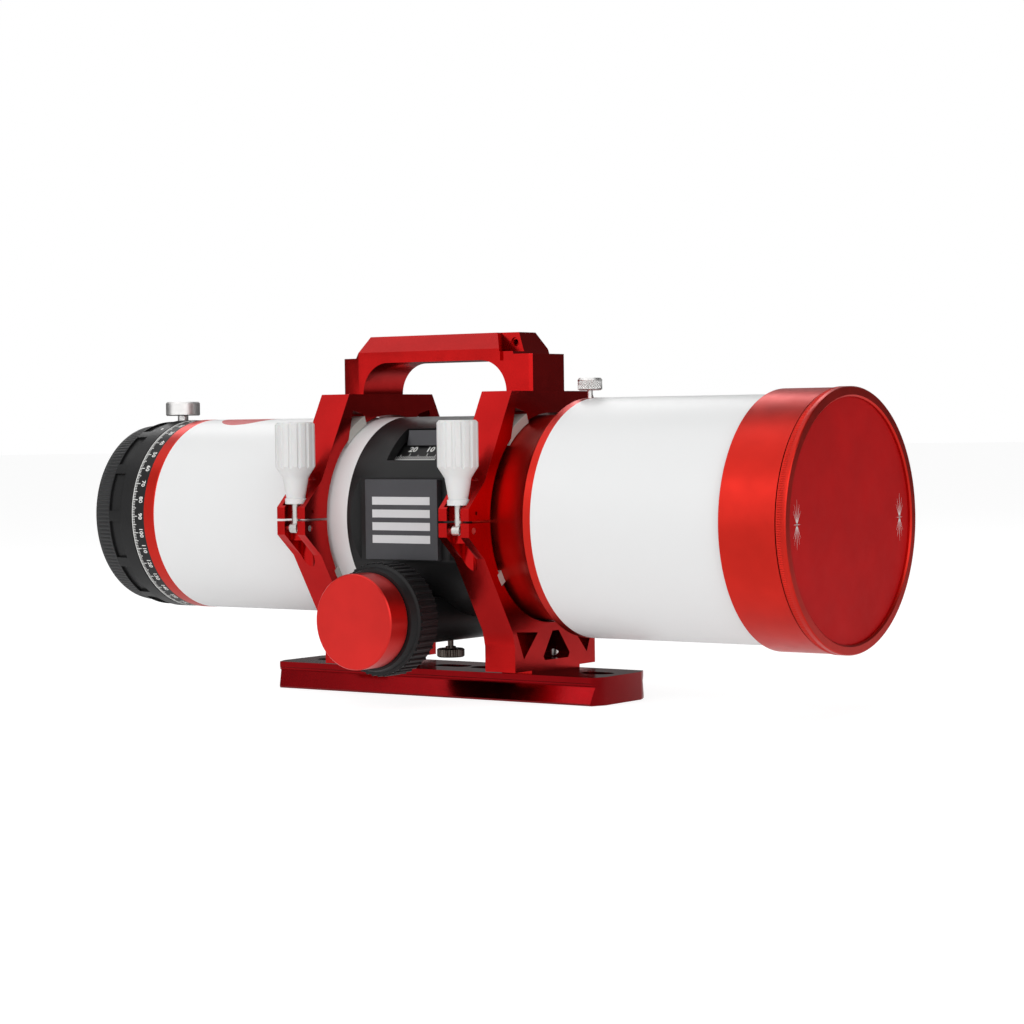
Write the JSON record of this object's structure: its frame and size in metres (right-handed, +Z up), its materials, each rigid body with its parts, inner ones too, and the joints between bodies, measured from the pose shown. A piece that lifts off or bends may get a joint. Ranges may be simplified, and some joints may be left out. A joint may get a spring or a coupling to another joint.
{
  "type": "refractor telescope",
  "caption": "Refractor telescope with internal focusing, sliding dew shield, hinged clamp rings, carry handle and dovetail plate.",
  "frame": {"origin": "centre of the dovetail plate's base face", "axes": "+X along the optical axis to the sky end, +Y to the telescope's left, +Z up"},
  "size_m": [0.3996, 0.1468, 0.167],
  "materials": {
    "red_anodised": "satin",
    "white_paint": "satin",
    "black_anodised": "satin",
    "grey_panel": "satin",
    "white_plastic": "matte",
    "nylon": "matte",
    "steel": "brushed",
    "silver": "satin",
    "bronze_grey": "satin",
    "brass": "polished",
    "felt": "matte",
    "coated_glass": "polished",
    "black_plastic": "matte"
  },
  "bodies": {
    "base": {"dovetail_plate": "red_anodised", "plate_bolts": "steel", "rear_ring_lower": "red_anodised", "front_ring_lower": "red_anodised", "hinge_pins": "steel", "clamp_pins": "steel", "lower_ring_pads": "nylon", "rear_tube": "white_paint", "baffles": "black_anodised", "rear_collar": "red_anodised", "angle_scale_ring": "black_anodised", "rotator_spigot": "black_anodised", "focuser_body": "black_anodised", "right_side_panel": "grey_panel", "left_side_panel": "grey_panel", "window_index_bar": "grey_panel", "linear_bearings": "brass", "pinion_housing": "black_anodised", "shaft_bearings": "steel", "front_body": "red_anodised"},
    "upper_rings": {"rear_ring_upper": "red_anodised", "front_ring_upper": "red_anodised", "upper_ring_pads": "nylon", "handle": "red_anodised", "handle_bolts": "steel"},
    "rear_bolt": {"rear_swing_bolt": "steel"},
    "front_bolt": {"front_swing_bolt": "steel"},
    "rear_knob": {"rear_clamp_knob": "white_plastic"},
    "front_knob": {"front_clamp_knob": "white_plastic"},
    "coarse_shaft": {"pinion_shaft": "steel", "coarse_knob": "black_anodised", "left_coarse_knob": "black_anodised"},
    "fine_focus": {"fine_knob": "red_anodised", "fine_shaft": "steel"},
    "carriage": {"sliding_tube": "black_anodised", "focus_rack": "steel", "focus_scale": "black_anodised", "objective_cell": "black_anodised", "rear_lens": "coated_glass", "middle_lens": "coated_glass", "front_lens": "coated_glass", "lens_spacers": "black_anodised", "retaining_ring": "black_anodised"},
    "focus_lock": {"focus_lock_screw": "bronze_grey"},
    "rotator": {"rotator_ring": "black_anodised", "rear_adapter": "black_anodised"},
    "rotator_lock": {"rotator_lock_screw": "silver"},
    "rear_cover": {"rear_cap": "black_plastic"},
    "dew_shield": {"dew_shield_rim": "red_anodised", "dew_shield_tube": "white_paint", "dew_shield_felt": "felt", "dew_shield_band": "red_anodised"},
    "dew_lock": {"dew_shield_lock_screw": "silver"},
    "front_cover": {"front_cap_rim": "red_anodised", "front_cap_disc": "red_anodised", "focusing_mask": "black_plastic"}
  },
  "joints": [
    {"name": "ring_opening", "type": "hinge", "parent": "base", "child": "upper_rings", "pos_m": [0, 0.06, 0.0826], "axis": [-1, 0, 0], "range_deg": [0, 60]},
    {"name": "rear_bolt_swing", "type": "hinge", "parent": "upper_rings", "child": "rear_bolt", "pos_m": [-0.0446, -0.0612, 0.0788], "axis": [1, 0, 0], "range_deg": [0, 75]},
    {"name": "front_bolt_swing", "type": "hinge", "parent": "upper_rings", "child": "front_bolt", "pos_m": [0.0485, -0.0612, 0.0788], "axis": [1, 0, 0], "range_deg": [0, 75]},
    {"name": "rear_knob_turn", "type": "hinge", "parent": "rear_bolt", "child": "rear_knob", "pos_m": [-0.0446, -0.0612, 0.1], "axis": [0, 0, 1], "continuous": true},
    {"name": "front_knob_turn", "type": "hinge", "parent": "front_bolt", "child": "front_knob", "pos_m": [0.0485, -0.0612, 0.1], "axis": [0, 0, 1], "continuous": true},
    {"name": "coarse_focus", "type": "hinge", "parent": "base", "child": "coarse_shaft", "pos_m": [0.004, 0, 0.0385], "axis": [0, 1, 0], "range_deg": [-170, 170]},
    {"name": "focus_travel", "type": "slide", "parent": "base", "child": "carriage", "axis": [1, 0, 0], "range_m": [-0.0145, 0.0145]},
    {"name": "fine_focus_turn", "type": "hinge", "parent": "base", "child": "fine_focus", "pos_m": [0.004, 0, 0.0385], "axis": [0, 1, 0], "range_deg": [-1705, 1705]},
    {"name": "focus_lock_turn", "type": "hinge", "parent": "base", "child": "focus_lock", "pos_m": [0.004, -0.0095, 0.02], "axis": [0, 0, 1], "continuous": true},
    {"name": "rotator_turn", "type": "hinge", "parent": "base", "child": "rotator", "pos_m": [-0.17, 0, 0.0826], "axis": [1, 0, 0], "continuous": true},
    {"name": "rotator_lock_turn", "type": "hinge", "parent": "rotator", "child": "rotator_lock", "pos_m": [-0.17, 0, 0.135], "axis": [0, 0, 1], "continuous": true},
    {"name": "rear_cap_pull", "type": "slide", "parent": "rotator", "child": "rear_cover", "axis": [-1, 0, 0], "range_m": [0, 0.03]},
    {"name": "dew_shield_slide", "type": "slide", "parent": "base", "child": "dew_shield", "axis": [1, 0, 0], "range_m": [0, 0.045]},
    {"name": "dew_lock_turn", "type": "hinge", "parent": "dew_shield", "child": "dew_lock", "pos_m": [0.0795, -0.0032, 0.142], "axis": [0, 0, 1], "continuous": true},
    {"name": "front_cap_pull", "type": "slide", "parent": "dew_shield", "child": "front_cover", "axis": [1, 0, 0], "range_m": [0, 0.03]}
  ],
  "couplings": [
    {"joint": "focus_travel", "follows": "coarse_focus", "m_per_rad": 0.0048},
    {"joint": "fine_focus_turn", "follows": "coarse_focus", "ratio": 10}
  ]
}
